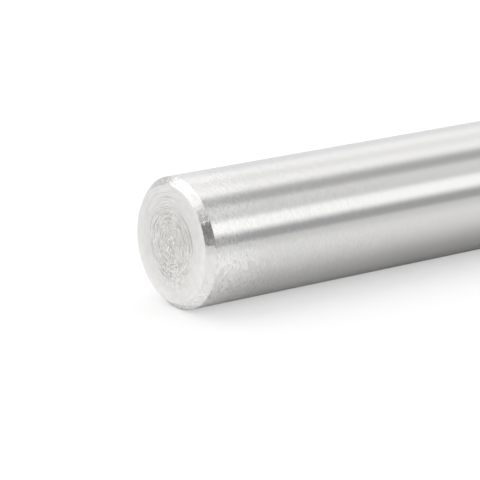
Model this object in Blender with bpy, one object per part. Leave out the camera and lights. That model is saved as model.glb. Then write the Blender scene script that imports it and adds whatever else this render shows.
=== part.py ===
"""A plain round steel shaft, sold as straight stock with both ends faced and chamfered.

The bar lies along X with its middle at the origin. Lengths are in metres, +Z is up.
"""

import math

import bpy

# Driving dimensions
DIAMETER = 0.010
LENGTH = 0.150
CHAMFER_LEG = 0.00056
CHAMFER_ANGLE = math.radians(45)
EDGE_BREAK = 0.00004

# How many flats stand for the round surface, and how many for each broken edge
SIDES = 64
EDGE_BREAK_STEPS = 2

# Edges sharper than this are real corners, and not the flats of the round surface
CORNER_ANGLE = math.radians(30)
AXIS_MERGE = 0.00001

STEEL_COLOUR = (0.66, 0.655, 0.645, 1.0)
STEEL_ROUGHNESS = 0.28


def clear_scene():
    """Nothing that the file held before stays in it."""
    for obj in list(bpy.data.objects):
        bpy.data.objects.remove(obj, do_unlink=True)


def ground_steel():
    """Bright drawn and ground stainless steel."""
    material = bpy.data.materials.new("ground_steel")
    material.use_nodes = True
    shader = material.node_tree.nodes["Principled BSDF"]
    shader.inputs["Base Color"].default_value = STEEL_COLOUR
    shader.inputs["Metallic"].default_value = 1.0
    shader.inputs["Roughness"].default_value = STEEL_ROUGHNESS
    return material


def bar_profile():
    """Half the bar's outline as (radius, height), from one end's centre round to the other's."""
    radius = DIAMETER / 2
    half = LENGTH / 2
    face_radius = radius - CHAMFER_LEG * math.tan(CHAMFER_ANGLE)
    upper = [(0.0, half), (face_radius, half), (radius, half - CHAMFER_LEG)]
    lower = [(r, -h) for r, h in reversed(upper)]
    return upper + lower


def shaft_bar(material):
    """The one solid: the outline turned round its axis, with both edges of each chamfer broken."""
    outline = bar_profile()
    mesh = bpy.data.meshes.new("shaft_bar")
    points = [(r, 0.0, h) for r, h in outline]
    edges = [(i, i + 1) for i in range(len(outline) - 1)]
    mesh.from_pydata(points, edges, [])
    mesh.materials.append(material)
    bar = bpy.data.objects.new("shaft_bar", mesh)
    bpy.context.scene.collection.objects.link(bar)

    turn = bar.modifiers.new("turn", "SCREW")
    turn.axis = "Z"
    turn.steps = SIDES
    turn.render_steps = SIDES
    turn.use_merge_vertices = True
    turn.merge_threshold = AXIS_MERGE
    turn.use_smooth_shade = True

    broken = bar.modifiers.new("edge_break", "BEVEL")
    broken.width = EDGE_BREAK
    broken.segments = EDGE_BREAK_STEPS
    broken.limit_method = "ANGLE"
    broken.angle_limit = CORNER_ANGLE

    bar.rotation_euler = (0.0, math.radians(90), 0.0)
    return bar


def main():
    clear_scene()
    shaft_bar(ground_steel())


main()
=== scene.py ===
"""The looks of a round steel shaft, ground, faced and chamfered at both ends, in a white studio."""

import math
import random

import bpy
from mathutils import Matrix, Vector, noise


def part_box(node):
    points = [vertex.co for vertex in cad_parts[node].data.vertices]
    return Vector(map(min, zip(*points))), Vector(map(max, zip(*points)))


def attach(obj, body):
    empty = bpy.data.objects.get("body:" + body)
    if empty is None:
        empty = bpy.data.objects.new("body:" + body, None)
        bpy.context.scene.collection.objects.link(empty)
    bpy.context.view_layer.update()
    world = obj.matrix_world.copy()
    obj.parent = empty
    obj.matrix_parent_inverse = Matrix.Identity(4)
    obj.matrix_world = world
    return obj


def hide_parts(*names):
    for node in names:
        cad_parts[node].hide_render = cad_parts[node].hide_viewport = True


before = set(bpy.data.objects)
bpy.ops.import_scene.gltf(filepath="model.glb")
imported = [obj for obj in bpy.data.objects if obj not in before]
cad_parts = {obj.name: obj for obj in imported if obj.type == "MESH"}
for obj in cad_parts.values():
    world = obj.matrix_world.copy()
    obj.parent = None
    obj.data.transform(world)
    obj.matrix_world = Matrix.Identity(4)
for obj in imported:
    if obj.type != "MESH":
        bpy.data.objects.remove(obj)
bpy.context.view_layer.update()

# The bar as the frame has it. It lies along X, and the end that the photo shows is the one at -X
BAR_LOW, BAR_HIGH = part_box("shaft_bar")
BAR_RADIUS = (BAR_HIGH.z - BAR_LOW.z) / 2
HALF_LENGTH = (BAR_HIGH.x - BAR_LOW.x) / 2
CHAMFER_LEG = 0.00056
EDGE_BREAK = 0.00004
FACE_RADIUS = BAR_RADIUS - CHAMFER_LEG

# The marks of the facing tool: its feed in one turn of the bar, and the radius of its nose
FEED = 0.00015
TOOL_NOSE = 0.0004
CUT_VARIES = (0.5, 1.2)
CHAMFER_MARK_SHARE = 0.15
# Near the centre the steel passes the tool too slowly and tears
TORN_RADIUS = 0.0026
TORN_MARK_SHARE = 1.8

# The ends are a little uneven: how far, and over what distance
FACE_WAVE = 0.0000015
CHAMFER_WAVE = 0.000004
WAVE_LENGTH = 0.0009

# How finely the bar is divided
SIDES = 192
STEPS_IN_MARK = 5
EDGE_STEPS = 4
FIRST_RING = 0.00005
RING_GROWTH = 1.35
NEAR_END_SEED = 3
FAR_END_SEED = 8

# From here on the materials count in millimetres
MM = 1000
FACE_RIM = FACE_RADIUS * MM
STEEL = (0.66, 0.655, 0.645)
# The direction of the shine's spread, as a share of a turn, and how rough every noise is
SPREAD_TURN = 0.25
NOISE_ROUGHNESS = 0.6

# The round surface. Its marks show most on the underside and near the ends, and fade between these
# distances from an end. Near the ends the steel also gets painted light, most of all on its underside
GROUND_ROUGHNESS = 0.22
GROUND_ANISOTROPY = 0.75
MARKED_DEPTH = (0.5, 6.0)
WORN_DEPTH = (5.0, 24.0)
WORN_IN_MIDDLE = 0.2
SCUFFED_DEPTH = (0.6, 4.0)
UNDERSIDE = (0.25, -0.1)
SHARE_ON_TOP = 0.45
# Grains a millimetre along the bar and round it, for each kind of mark
DASHES = (7.0, 3.0)
LUMPS = (2.4, 1.2)
BLOTCHES = (1.8, 1.4)
PITS = (5.0, 4.0)
PIT_LEVELS = (0.66, 0.74)
# How much of the brightness each kind of mark takes or gives, and how much painted light the steel gets
# near the ends
DASHES_IF_MARKED = 1.1
DASHES_IF_WORN = 0.38
BLOTCHES_IF_WORN = 0.1
PITS_TAKE = -0.2
PAINTED_LIGHT_NEAR_ENDS = 0.19
# How much of the scuffed steel's light is a dull haze, and the noise levels that it grows between
HAZE = 0.24
HAZE_LEVELS = (0.3, 0.7)
# How high the bumps are, in metres
LUMPS_WORN_HEIGHT = 0.000004
LUMPS_MARKED_HEIGHT = 0.000003
DASHES_HEIGHT = 0.0000015

# The ends. Their colour goes by the distance from the centre, and the last two are the chamfer's
END_COLOURS = (
    (0.0, (0.59, 0.58, 0.55, 1)), (0.9, (0.63, 0.62, 0.595, 1)), (2.4, (0.68, 0.665, 0.64, 1)),
    (3.0, (0.72, 0.71, 0.69, 1)), (3.8, (0.765, 0.755, 0.74, 1)),
    (FACE_RIM - 0.04, (0.80, 0.79, 0.775, 1)), (FACE_RIM + 0.01, (0.72, 0.71, 0.70, 1)),
    (BAR_RADIUS * MM, (0.72, 0.71, 0.70, 1)),
)
FACE_ROUGHNESS = 0.34
CHAMFER_ROUGHNESS = 0.13
END_ANISOTROPY = 0.6
# The radii between which a zone of the end begins
TORN_ZONE = (TORN_RADIUS * MM + 0.5, TORN_RADIUS * MM - 0.4)
CENTRE_ZONE = (1.0, 0.3)
ROUND_CENTRE_ZONE = (0.5, 1.5)
FACE_ZONE = (FACE_RIM - 0.04, FACE_RIM - 0.34)
CHAMFER_ZONE = (FACE_RIM - 0.02, FACE_RIM + 0.04)
FACE_FOOT_ZONE = (3.8, 3.2)
# How far up or down a point lies from the axis, as a share of its radius, for what shows there only
FACE_GLINT_TOP = (0.78, 1.03)
FACE_FOOT = (-0.6, -1.0)
CHAMFER_TOP_AND_FOOT = (0.85, 0.97)
CHAMFER_FOOT = (-0.25, -1.0)
CHAMFER_SHOULDER = (0.15, 0.72)
SHOULDER_SOFT = 0.1
# Left and right are as seen from past the near end. The rings at its top, where they carry a painted
# glint, lie a little to the left
TOP_TO_LEFT = 0.25
# Rings of noise: how fine for each millimetre, how often they break up on their way, and their detail
FINE_RINGS = (6.5, 2.2, 3.0)
COARSE_RINGS = (3.0, 0.7, 1.0)
# How far noise pushes the tool's rings aside, in radians of their wave
RING_WANDER = 12.0
# Dark grooves round the torn zone, and how far noise pushes them aside
GROOVES = (1.85, 2.4, 2.75)
GROOVE_WIDTH = 0.09
GROOVE_WANDER = 0.5
# The grooves show where a noise, which grows to the right and to the top, is above these levels
GROOVE_PATCHES = 1.6
MORE_TO_RIGHT = 0.08
MORE_TO_TOP = 0.14
GROOVE_LEVELS = (0.46, 0.6)
# Grains a millimetre of the other noises
MOTTLE = 5.5
CLOUDS = 1.4
END_LUMPS = 2.4
SPECK_LEVELS = (0.56, 0.68)
# How much of the brightness each kind of mark takes or gives. The rings at the face's top also carry a
# painted glint, the face is made a little darker at its foot, and the chamfer's foot gets painted light
FINE_RINGS_IN_TORN = 0.95
FINE_RINGS_AND_GLINT_AT_TOP = 0.34
FINE_RINGS_ON_FACE = 0.22
TOOL_RINGS_AND_GLINT_AT_TOP = 0.1
TOOL_RINGS_IN_TORN = 0.08
GROOVES_TAKE = -0.3
MOTTLE_IN_TORN = 0.56
MOTTLE_AT_FACE_FOOT = 0.6
MOTTLE_ON_CHAMFER = 0.12
MOTTLE_AT_CHAMFER_ENDS = 0.9
MOTTLE_ON_SHOULDER = 0.7
MOTTLE_AT_CHAMFER_FOOT = 0.9
CLOUDS_GIVE = 0.16
FACE_FOOT_TAKES = -0.04
PAINTED_LIGHT_AT_CHAMFER_FOOT = 0.2
SPECKS_GIVE = 0.5
# How high the bumps are, in metres
CHAMFER_LUMPS_HEIGHT = 0.00001
CHAMFER_MOTTLE_HEIGHT = 0.000003
TORN_MOTTLE_HEIGHT = 0.00001

# The camera, in front of the bar, past its near end and a little above it. Its lens and sensor are in
# millimetres, and its place from the middle of the end's face is in metres, to its own right, up and back
CAMERA_AZIMUTH = math.radians(-35.88)
CAMERA_ELEVATION = math.radians(15.70)
LENS = 211.6
SENSOR = 36.0
CAMERA_FROM_FACE = Vector((0.0050835, 0.0003378, 0.207462))

# The floor, in metres
FLOOR_RADIUS = 1.5
FLOOR_SIDES = 96
# The floor's greys to all but the camera: painted light beside the ends and beside the middle, painted
# shadow close to the middle, and the plain grey away from the bar
FLOOR_PAINTED_LIGHT_BY_ENDS = (1.0, 1.0, 1.0, 1)
FLOOR_PAINTED_LIGHT_BY_MIDDLE = (0.98, 0.98, 0.98, 1)
FLOOR_PAINTED_SHADOW_CLOSE = (0.78, 0.78, 0.78, 1)
FLOOR_AWAY = (0.78, 0.78, 0.78, 1)
# Over what distances from the bar they change, and how far from an end its grey reaches
CLOSE = (0.003, 0.009)
AWAY = (0.007, 0.044)
FLOOR_FADES = 0.034
WHITE = (1, 1, 1, 1)
# How much of the shadow on the floor the camera sees
SHADOW_SHARE = 0.5

# The studio's light round the bar: degrees over it from the horizon in front, the level and any tint
COOL = (0.99, 1.0, 1.02)
LIGHT_ROUND_BAR = (
    (0, 0.48, COOL), (13, 0.48, COOL), (22, 1.46), (37, 1.46), (44, 0.88, COOL), (56, 0.97), (64, 1.0),
    (72, 0.61), (83, 0.61, COOL), (94, 1.3), (103, 1.32), (115, 1.1), (120, 1.1), (133, 1.3), (140, 1.3),
    (155, 1.02, COOL), (165, 0.95, COOL), (180, 0.97, COOL),
)
# What changes that light in parts of the studio: their reach along the bar, their degrees over it and
# how softly these end, the share of the light that stays there, and the level that is added. The wall is
# past the near end
IN_FRONT = ((-1.0, 0.33), (-10, 64), 8, 0.75, 0.0)
OVERHEAD = ((-1.0, 0.33), (80, 144), 15, 0.0, 1.3)
OVER_NEAR_END = ((-0.56, -0.18), (78, 140), 10, 0.0, 1.75)
OVER_FAR_END = ((0.16, 0.34), (78, 140), 10, 0.0, 1.75)
BEHIND_MIDDLE = ((-0.3, 0.4), (154, 190), 7, 0.0, 0.8)
DIM_PAST_FAR_END = ((0.6, 0.8), (68, 88), 4, 0.75, 0.0)
WALL = ((-1.0, -0.7), (-10, 62), 4, 0.0, 0.42)
WALL_MIDDLE = ((-1.0, -0.7), (16, 50), 6, 0.0, 0.3)
WALL_SLIT = ((-1.0, -0.7), (53, 56), 1, 0.0, 1.6)
CHANGES = (
    IN_FRONT, OVERHEAD, OVER_NEAR_END, OVER_FAR_END, BEHIND_MIDDLE, DIM_PAST_FAR_END,
    WALL, WALL_MIDDLE, WALL_SLIT,
)
# How softly each part ends along the bar, and the highest level of all
SOFT_REACH = 0.04
BRIGHTEST = 1.75

# Which sockets of a mix node are its share and its two colours, and which one is the result
MIX_INPUTS = (0, 6, 7)
MIX_RESULT = 2


def add(tree, kind, inputs=None, **settings):
    """A new node of this kind. Its inputs are set to the values given, or linked to the outputs given."""
    made = tree.nodes.new(kind)
    for name, value in settings.items():
        setattr(made, name, value)
    for name, value in (inputs or {}).items():
        if isinstance(value, bpy.types.NodeSocket):
            tree.links.new(value, made.inputs[name])
        else:
            made.inputs[name].default_value = value
    return made


def calculate(tree, operation, *values):
    """The result of a math operation on values, which are numbers or nodes' outputs."""
    return add(tree, "ShaderNodeMath", dict(enumerate(values)), operation=operation).outputs[0]


def spread(tree, value, low, high, to_low=0.0, to_high=1.0):
    """The value taken smoothly from the range low to high into another, and held there."""
    inputs = {"Value": value, "From Min": low, "From Max": high, "To Min": to_low, "To Max": to_high}
    return add(tree, "ShaderNodeMapRange", inputs, interpolation_type="SMOOTHSTEP").outputs[0]


def between(tree, value, limits, soft):
    """1 between the two limits and 0 outside them, with soft borders."""
    low, high = limits
    rise = spread(tree, value, low - soft, low + soft)
    fall = spread(tree, value, high + soft, high - soft)
    return calculate(tree, "MULTIPLY", rise, fall)


def vectors(tree, operation, inputs):
    """The result of a vector operation on these inputs."""
    made = add(tree, "ShaderNodeVectorMath", inputs, operation=operation)
    return made.outputs["Value" if operation == "LENGTH" else "Vector"]


def component(tree, vector, axis):
    """A vector's part along this axis."""
    return add(tree, "ShaderNodeSeparateXYZ", {0: vector}).outputs[axis]


def mix_colours(tree, share, first, second):
    """The first colour where the share is 0, the second where it is 1, and a blend between."""
    inputs = dict(zip(MIX_INPUTS, (share, first, second)))
    return add(tree, "ShaderNodeMix", inputs, data_type="RGBA").outputs[MIX_RESULT]


def ramp(tree, value, stops):
    """The colour for a value, from stops that say (value, colour) and start at 0."""
    reach = stops[-1][0]
    made = add(tree, "ShaderNodeValToRGB", {"Fac": calculate(tree, "DIVIDE", value, reach)})
    elements = made.color_ramp.elements
    elements.remove(elements[-1])
    for number, (at, colour) in enumerate(stops):
        element = elements.new(at / reach) if number else elements[0]
        element.position = at / reach
        element.color = colour
    return made.outputs["Color"]


def light(level, tint=(1, 1, 1)):
    """This level of light as a share of the brightest."""
    return tuple(level * part / BRIGHTEST for part in tint) + (1,)


# The bar's shape

def tool_mark(offset, share):
    """How deep the tool's round nose cuts, this far from the middle of its mark."""
    return share * ((FEED / 2) ** 2 - offset ** 2) / (2 * TOOL_NOSE)


def marked_stretch(start, stop, share, luck):
    """Points from start to stop, as (depth, radius), with the tool's marks cut square to that line."""
    run = stop - start
    marks = int(run.length / FEED)
    along = run.normalized()
    inward = Vector((along.y, -along.x))
    points = []
    for mark in range(marks):
        here = start.y + along.y * mark * FEED
        torn = TORN_MARK_SHARE if here < TORN_RADIUS else 1.0
        cut = share * torn * luck.uniform(*CUT_VARIES)
        for step in range(STEPS_IN_MARK):
            at = step / STEPS_IN_MARK * FEED
            points.append(start + along * (mark * FEED + at) + inward * tool_mark(at - FEED / 2, cut))
    points.append(start + along * marks * FEED)
    return points


def broken_edge(before, corner, after):
    """A small round in place of a sharp corner."""
    first = corner + (before - corner).normalized() * EDGE_BREAK
    last = corner + (after - corner).normalized() * EDGE_BREAK
    points = []
    for step in range(EDGE_STEPS + 1):
        t = step / EDGE_STEPS
        points.append(first * (1 - t) ** 2 + corner * 2 * t * (1 - t) + last * t ** 2)
    return points


def end_outline(luck):
    """Half the bar's outline as (depth, radius), from the centre of one end to the middle of the bar."""
    centre = Vector((0, 0))
    face_rim = Vector((0, FACE_RADIUS))
    shoulder = Vector((CHAMFER_LEG, BAR_RADIUS))
    middle = Vector((HALF_LENGTH, BAR_RADIUS))
    inner_break = broken_edge(centre, face_rim, shoulder)
    outer_break = broken_edge(face_rim, shoulder, middle)
    points = marked_stretch(centre, inner_break[0], 1.0, luck)[1:]
    points += inner_break
    points += marked_stretch(inner_break[-1], outer_break[0], CHAMFER_MARK_SHARE, luck)[1:]
    points += outer_break
    depth = outer_break[-1].x
    ring = FIRST_RING
    while depth + ring < HALF_LENGTH:
        depth += ring
        points.append(Vector((depth, BAR_RADIUS)))
        ring *= RING_GROWTH
    return points


def uneven(point, radius):
    """How far this point of an end is sunk below the perfect form."""
    amount = CHAMFER_WAVE if radius > FACE_RADIUS else FACE_WAVE
    return amount * (0.5 + 0.5 * noise.noise(point / WAVE_LENGTH))


def end_rings(side, luck):
    """Rings of points for the half of the bar at -X or +X, from the end's centre to the middle."""
    rings = []
    for depth, radius in end_outline(luck):
        ring = []
        for number in range(SIDES):
            turn = 2 * math.pi * number / SIDES
            out = Vector((0, math.cos(turn), math.sin(turn)))
            point = Vector((side * (HALF_LENGTH - depth), 0, 0)) + out * radius
            if depth < CHAMFER_LEG:
                sunk = uneven(point, radius)
                lean = 1.0 if radius > FACE_RADIUS else 0.0
                point -= Vector((side, 0, 0)) * sunk + out * sunk * lean
            ring.append(point)
        rings.append(ring)
    return rings


def shaft(steel, faced):
    """The whole bar as one closed mesh, ring after ring from one end's centre to the other's."""
    near = end_rings(-1, random.Random(NEAR_END_SEED))
    far = end_rings(1, random.Random(FAR_END_SEED))
    rings = near + far[::-1]
    points = [Vector((-HALF_LENGTH, 0, 0))]
    points += [point for ring in rings for point in ring]
    points.append(Vector((HALF_LENGTH, 0, 0)))
    last = len(points) - 1
    faces = []
    for number in range(SIDES):
        after = (number + 1) % SIDES
        faces.append((0, 1 + after, 1 + number))
        faces.append((last, last - SIDES + number, last - SIDES + after))
    for ring in range(len(rings) - 1):
        for number in range(SIDES):
            after = (number + 1) % SIDES
            here = 1 + ring * SIDES
            there = here + SIDES
            faces.append((here + number, here + after, there + after, there + number))
    mesh = bpy.data.meshes.new("shaft")
    mesh.from_pydata(points, [], faces)
    mesh.materials.append(steel)
    mesh.materials.append(faced)
    ground_from = HALF_LENGTH - CHAMFER_LEG
    for face in mesh.polygons:
        face.material_index = 0 if abs(face.center.x) < ground_from else 1
    mesh.shade_smooth()
    bar = bpy.data.objects.new("shaft", mesh)
    bar.location = (BAR_LOW + BAR_HIGH) / 2
    bpy.context.scene.collection.objects.link(bar)
    return bar


# Materials

def metal(name, roughness, anisotropy):
    """A bare metal whose shine spreads across the marks that run round the bar's axis."""
    material = bpy.data.materials.new(name)
    material.use_nodes = True
    tree = material.node_tree
    shader = tree.nodes["Principled BSDF"]
    shader.inputs["Metallic"].default_value = 1.0
    shader.inputs["Roughness"].default_value = roughness
    shader.inputs["Anisotropic"].default_value = anisotropy
    shader.inputs["Anisotropic Rotation"].default_value = SPREAD_TURN
    tangent = add(tree, "ShaderNodeTangent", direction_type="RADIAL", axis="X")
    tree.links.new(tangent.outputs[0], shader.inputs["Tangent"])
    return material, tree, shader


def millimetres(tree):
    """A point's place in millimetres, its distance along the bar and off the axis, and its way out."""
    place = add(tree, "ShaderNodeTexCoord").outputs["Object"]
    place = vectors(tree, "SCALE", {0: place, "Scale": MM})
    across = vectors(tree, "MULTIPLY", {0: place, 1: (0, 1, 1)})
    radius = vectors(tree, "LENGTH", {0: across})
    return place, component(tree, place, "X"), radius, vectors(tree, "NORMALIZE", {0: across})


def cloud(tree, place, detail):
    """Noise between 0 and 1, with about one grain to each unit of the place."""
    inputs = {"Vector": place, "Scale": 1.0, "Detail": detail, "Roughness": NOISE_ROUGHNESS}
    return add(tree, "ShaderNodeTexNoise", inputs).outputs["Fac"]


def grain(tree, place, along, across, detail=2.0):
    """Noise with so many grains a millimetre along the bar, and so many across it or round it."""
    return cloud(tree, vectors(tree, "MULTIPLY", {0: place, 1: (along, across, across)}), detail)


def ring_noise(tree, along, radius, outward, fineness, breaks, detail=2.0):
    """Noise in rings round the axis, so fine for each millimetre, that break up on their way round."""
    step = calculate(tree, "MULTIPLY_ADD", radius, fineness, along)
    step = add(tree, "ShaderNodeCombineXYZ", {"X": step}).outputs[0]
    round_axis = vectors(tree, "SCALE", {0: outward, "Scale": breaks})
    return cloud(tree, vectors(tree, "ADD", {0: step, 1: round_axis}), detail)


def tool_rings(tree, radius, wander):
    """The facing tool's rings, as a wave between -1 and 1 that this noise pushes aside."""
    turn = calculate(tree, "MULTIPLY", radius, 2 * math.pi / (FEED * MM))
    return calculate(tree, "SINE", calculate(tree, "MULTIPLY_ADD", wander, RING_WANDER, turn))


def groove(tree, radius, wander, at):
    """1 in the middle of a ring groove at this radius, and 0 beside it."""
    pushed = calculate(tree, "MULTIPLY_ADD", wander, GROOVE_WANDER, radius)
    beside = calculate(tree, "ABSOLUTE", calculate(tree, "SUBTRACT", pushed, at + GROOVE_WANDER / 2))
    return spread(tree, beside, 0.0, GROOVE_WIDTH, 1.0, 0.0)


def raised(tree, height, distance, normal=None):
    """The surface's normal with bumps as high as this distance, over any that it has already."""
    inputs = {"Height": height, "Strength": 1.0, "Distance": distance}
    if normal:
        inputs["Normal"] = normal
    return add(tree, "ShaderNodeBump", inputs).outputs[0]


def weigh(tree, share, *weights):
    """The share times each of the weights."""
    for weight in weights:
        share = calculate(tree, "MULTIPLY", share, weight)
    return share


def spots(tree, noise_value, size, *weights):
    """The noise round zero, as a share of the surface's brightness."""
    return weigh(tree, calculate(tree, "SUBTRACT", noise_value, 0.5), size, *weights)


def brighten(tree, shader, colour, shares):
    """Gives the surface the colour, with all these shares of its brightness added."""
    total = 1.0
    for share in shares:
        total = calculate(tree, "ADD", total, share)
    made = vectors(tree, "SCALE", {0: colour, "Scale": total})
    tree.links.new(made, shader.inputs["Base Color"])


def ground_steel():
    """The round surface, finely ground: its marks run round it and show near the ends, where the steel
    also has painted light, most of all on its underside.
    """
    material, tree, shader = metal("ground_steel", GROUND_ROUGHNESS, GROUND_ANISOTROPY)
    place, along, _, outward = millimetres(tree)
    depth = calculate(tree, "SUBTRACT", HALF_LENGTH * MM, calculate(tree, "ABSOLUTE", along))
    marked = spread(tree, depth, *MARKED_DEPTH, 1.0, 0.0)
    worn = spread(tree, depth, *WORN_DEPTH, 1.0, WORN_IN_MIDDLE)
    scuffed = spread(tree, depth, *SCUFFED_DEPTH, 1.0, 0.0)
    below = spread(tree, component(tree, outward, "Z"), *UNDERSIDE, SHARE_ON_TOP, 1.0)

    dashes = grain(tree, place, *DASHES)
    lumps = grain(tree, place, *LUMPS)
    blotches = grain(tree, place, *BLOTCHES)
    pits = spread(tree, grain(tree, place, *PITS, detail=0.0), *PIT_LEVELS)
    brighten(tree, shader, STEEL, [
        spots(tree, dashes, DASHES_IF_MARKED, marked, below),
        spots(tree, dashes, DASHES_IF_WORN, worn, below),
        spots(tree, blotches, BLOTCHES_IF_WORN, worn),
        weigh(tree, pits, PITS_TAKE, scuffed, below),
        # Painted light: the steel is lighter within a few millimetres of each end, most of all on its
        # underside
        weigh(tree, marked, PAINTED_LIGHT_NEAR_ENDS, below),
    ])
    haze = weigh(tree, spread(tree, dashes, *HAZE_LEVELS), HAZE, scuffed)
    tree.links.new(calculate(tree, "SUBTRACT", 1.0, haze), shader.inputs["Metallic"])

    normal = raised(tree, weigh(tree, lumps, worn), LUMPS_WORN_HEIGHT)
    normal = raised(tree, weigh(tree, lumps, marked), LUMPS_MARKED_HEIGHT, normal)
    normal = raised(tree, weigh(tree, dashes, marked), DASHES_HEIGHT, normal)
    tree.links.new(normal, shader.inputs["Normal"])
    return material


def end_zones(tree, radius, up, left):
    """Where on an end each kind of mark, the rings' painted glint and the chamfer foot's painted light
    show, as shares between 0 and 1.
    """
    torn = spread(tree, radius, *TORN_ZONE)
    on_face = spread(tree, radius, *FACE_ZONE)
    on_chamfer = spread(tree, radius, *CHAMFER_ZONE)
    untorn = calculate(tree, "SUBTRACT", 1.0, torn)
    top_left = calculate(tree, "MULTIPLY_ADD", left, TOP_TO_LEFT, up)
    off_level = calculate(tree, "ABSOLUTE", up)
    return {
        "centre": spread(tree, radius, *CENTRE_ZONE),
        "round centre": spread(tree, radius, *ROUND_CENTRE_ZONE),
        "torn": torn,
        "face": on_face,
        "face top glint": weigh(tree, spread(tree, top_left, *FACE_GLINT_TOP), on_face, untorn),
        "face foot": weigh(tree, spread(tree, up, *FACE_FOOT), spread(tree, radius, *FACE_FOOT_ZONE)),
        "chamfer": on_chamfer,
        "chamfer top and foot": weigh(tree, spread(tree, off_level, *CHAMFER_TOP_AND_FOOT), on_chamfer),
        "chamfer shoulder": weigh(tree, between(tree, up, CHAMFER_SHOULDER, SHOULDER_SOFT), on_chamfer),
        "chamfer foot": weigh(tree, spread(tree, up, *CHAMFER_FOOT), on_chamfer),
    }


def groove_patches(tree, outward, up, left):
    """Where the grooves round the torn zone show: in patches of noise, more to the right and the top."""
    patches = grain(tree, outward, GROOVE_PATCHES, GROOVE_PATCHES, detail=1.0)
    patches = calculate(tree, "MULTIPLY_ADD", left, -MORE_TO_RIGHT, patches)
    patches = calculate(tree, "MULTIPLY_ADD", up, MORE_TO_TOP, patches)
    return spread(tree, patches, *GROOVE_LEVELS)


def faced_steel():
    """The ends and chamfers: ringed by the tool's marks, torn and darker near the centre, with a painted
    glint on the rings at the face's top and painted light at the chamfer's foot.
    """
    material, tree, shader = metal("faced_steel", FACE_ROUGHNESS, END_ANISOTROPY)
    place, along, radius, outward = millimetres(tree)
    up = component(tree, outward, "Z")
    left = component(tree, outward, "Y")
    zone = end_zones(tree, radius, up, left)

    fine = ring_noise(tree, along, radius, outward, *FINE_RINGS)
    coarse = ring_noise(tree, along, radius, outward, *COARSE_RINGS)
    turned = tool_rings(tree, radius, coarse)
    grooved = groove_patches(tree, outward, up, left)
    mottle = grain(tree, place, MOTTLE, MOTTLE, detail=1.0)
    clouds = grain(tree, place, CLOUDS, CLOUDS, detail=1.0)
    specks = spread(tree, mottle, *SPECK_LEVELS)
    brighten(tree, shader, ramp(tree, radius, END_COLOURS), [
        spots(tree, fine, FINE_RINGS_IN_TORN, zone["torn"], zone["round centre"]),
        # Painted glint: the rings show strongly at the top of the face, a little to the left
        spots(tree, fine, FINE_RINGS_AND_GLINT_AT_TOP, zone["face top glint"]),
        spots(tree, fine, FINE_RINGS_ON_FACE, zone["face"]),
        weigh(tree, turned, TOOL_RINGS_AND_GLINT_AT_TOP, zone["face top glint"]),
        weigh(tree, turned, TOOL_RINGS_IN_TORN, zone["torn"]),
        *(weigh(tree, groove(tree, radius, coarse, at), GROOVES_TAKE, grooved) for at in GROOVES),
        spots(tree, mottle, MOTTLE_IN_TORN, zone["torn"]),
        spots(tree, mottle, MOTTLE_AT_FACE_FOOT, zone["face foot"]),
        spots(tree, mottle, MOTTLE_ON_CHAMFER, zone["chamfer"]),
        spots(tree, mottle, MOTTLE_AT_CHAMFER_ENDS, zone["chamfer top and foot"]),
        spots(tree, mottle, MOTTLE_ON_SHOULDER, zone["chamfer shoulder"]),
        spots(tree, mottle, MOTTLE_AT_CHAMFER_FOOT, zone["chamfer foot"]),
        spots(tree, clouds, CLOUDS_GIVE),
        weigh(tree, zone["face foot"], FACE_FOOT_TAKES),
        # Painted light at the chamfer's foot
        weigh(tree, zone["chamfer foot"], PAINTED_LIGHT_AT_CHAMFER_FOOT),
        weigh(tree, specks, SPECKS_GIVE, zone["centre"]),
    ])

    roughness = spread(tree, zone["chamfer"], 0.0, 1.0, FACE_ROUGHNESS, CHAMFER_ROUGHNESS)
    tree.links.new(roughness, shader.inputs["Roughness"])
    lumps = grain(tree, place, END_LUMPS, END_LUMPS)
    normal = raised(tree, weigh(tree, lumps, zone["chamfer"]), CHAMFER_LUMPS_HEIGHT)
    normal = raised(tree, weigh(tree, mottle, zone["chamfer"]), CHAMFER_MOTTLE_HEIGHT, normal)
    normal = raised(tree, weigh(tree, mottle, zone["torn"]), TORN_MOTTLE_HEIGHT, normal)
    tree.links.new(normal, shader.inputs["Normal"])
    return material


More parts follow.
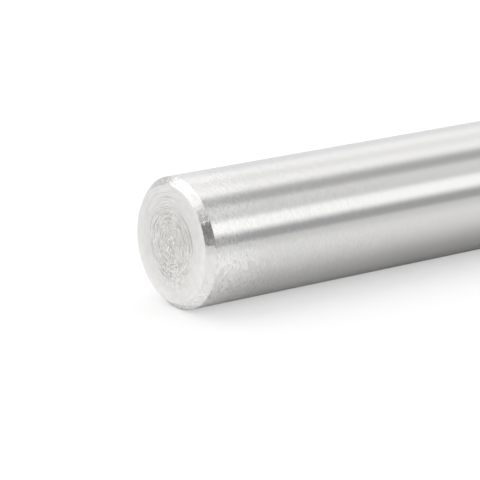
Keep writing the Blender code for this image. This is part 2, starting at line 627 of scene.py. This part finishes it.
def floor_material():
    """A pale floor with painted light beside the bar and painted shadow close beside its middle, and to
    the camera a white one on which the bar's shadow is faint.
    """
    material = bpy.data.materials.new("floor")
    material.use_nodes = True
    tree = material.node_tree
    shader = tree.nodes["Principled BSDF"]
    shader.inputs["Roughness"].default_value = 1.0
    shader.inputs["Specular IOR Level"].default_value = 0.0
    place = add(tree, "ShaderNodeTexCoord").outputs["Object"]
    along = calculate(tree, "ABSOLUTE", component(tree, place, "X"))
    past_end = calculate(tree, "MAXIMUM", calculate(tree, "SUBTRACT", along, HALF_LENGTH), 0.0)
    across = component(tree, place, "Y")
    from_bar = add(tree, "ShaderNodeCombineXYZ", {"X": past_end, "Y": across}).outputs[0]
    distance = vectors(tree, "LENGTH", {0: from_bar})
    by_end = spread(tree, along, HALF_LENGTH - FLOOR_FADES, HALF_LENGTH)
    # Painted light beside the bar, most beside its ends, and painted shadow close beside its middle
    lit = mix_colours(tree, spread(tree, distance, *CLOSE), FLOOR_PAINTED_SHADOW_CLOSE, FLOOR_PAINTED_LIGHT_BY_MIDDLE)
    lit = mix_colours(tree, by_end, lit, FLOOR_PAINTED_LIGHT_BY_ENDS)
    lit = mix_colours(tree, spread(tree, distance, *AWAY), lit, FLOOR_AWAY)
    seen = add(tree, "ShaderNodeLightPath").outputs["Is Camera Ray"]
    tree.links.new(mix_colours(tree, seen, lit, WHITE), shader.inputs["Base Color"])
    plain = add(tree, "ShaderNodeEmission", {"Color": WHITE, "Strength": 1.0}).outputs[0]
    share = calculate(tree, "MULTIPLY", seen, 1.0 - SHADOW_SHARE)
    mixed = add(tree, "ShaderNodeMixShader", {0: share, 1: shader.outputs[0], 2: plain}).outputs[0]
    tree.links.new(mixed, tree.nodes["Material Output"].inputs["Surface"])
    return material


# The studio

def floor():
    """The round floor that the bar lies on."""
    bpy.ops.mesh.primitive_circle_add(
        vertices=FLOOR_SIDES, radius=FLOOR_RADIUS, fill_type="NGON", location=(0, 0, BAR_LOW.z)
    )
    made = bpy.context.object
    made.name = "floor"
    made.data.materials.append(floor_material())


def studio():
    """White for the camera, and for the steel the light of soft boxes in front, overhead and behind."""
    world = bpy.data.worlds.new("studio")
    bpy.context.scene.world = world
    world.use_nodes = True
    tree = world.node_tree
    tree.nodes.clear()
    direction = add(tree, "ShaderNodeTexCoord").outputs["Generated"]
    reach_along = component(tree, direction, "X")
    forward = calculate(tree, "MULTIPLY", component(tree, direction, "Y"), -1.0)
    height = calculate(tree, "MAXIMUM", component(tree, direction, "Z"), 0.0)
    degrees = calculate(tree, "DEGREES", calculate(tree, "ARCTAN2", height, forward))
    level = ramp(tree, degrees, [(angle, light(*stop)) for angle, *stop in LIGHT_ROUND_BAR])
    for reach, limits, soft, kept, added in CHANGES:
        there = calculate(tree, "MULTIPLY", between(tree, reach_along, reach, SOFT_REACH),
                          between(tree, degrees, limits, soft))
        changed = vectors(tree, "MULTIPLY_ADD", {0: level, 1: (kept, kept, kept), 2: light(added)[:3]})
        level = mix_colours(tree, there, level, changed)
    seen = add(tree, "ShaderNodeLightPath").outputs["Is Camera Ray"]
    lamps = add(tree, "ShaderNodeBackground", {"Color": level, "Strength": BRIGHTEST}).outputs[0]
    white = add(tree, "ShaderNodeBackground", {"Color": WHITE, "Strength": 1.0}).outputs[0]
    mixed = add(tree, "ShaderNodeMixShader", {0: seen, 1: lamps, 2: white}).outputs[0]
    add(tree, "ShaderNodeOutputWorld", {"Surface": mixed})


def camera():
    """Looks at the near end of the bar as the photo does."""
    back = Vector((
        math.sin(CAMERA_AZIMUTH) * math.cos(CAMERA_ELEVATION),
        -math.cos(CAMERA_AZIMUTH) * math.cos(CAMERA_ELEVATION),
        math.sin(CAMERA_ELEVATION),
    ))
    data = bpy.data.cameras.new("camera")
    data.lens = LENS
    data.sensor_width = SENSOR
    made = bpy.data.objects.new("camera", data)
    made.rotation_mode = "QUATERNION"
    made.rotation_quaternion = back.to_track_quat("Z", "Y")
    face = Vector((BAR_LOW.x, 0, 0))
    made.location = face + made.rotation_quaternion @ CAMERA_FROM_FACE
    bpy.context.scene.collection.objects.link(made)
    bpy.context.scene.camera = made


def main():
    bar = shaft(ground_steel(), faced_steel())
    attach(bar, "root")
    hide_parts("shaft_bar")
    floor()
    studio()
    camera()
    bpy.context.scene.view_settings.view_transform = "Standard"


main()
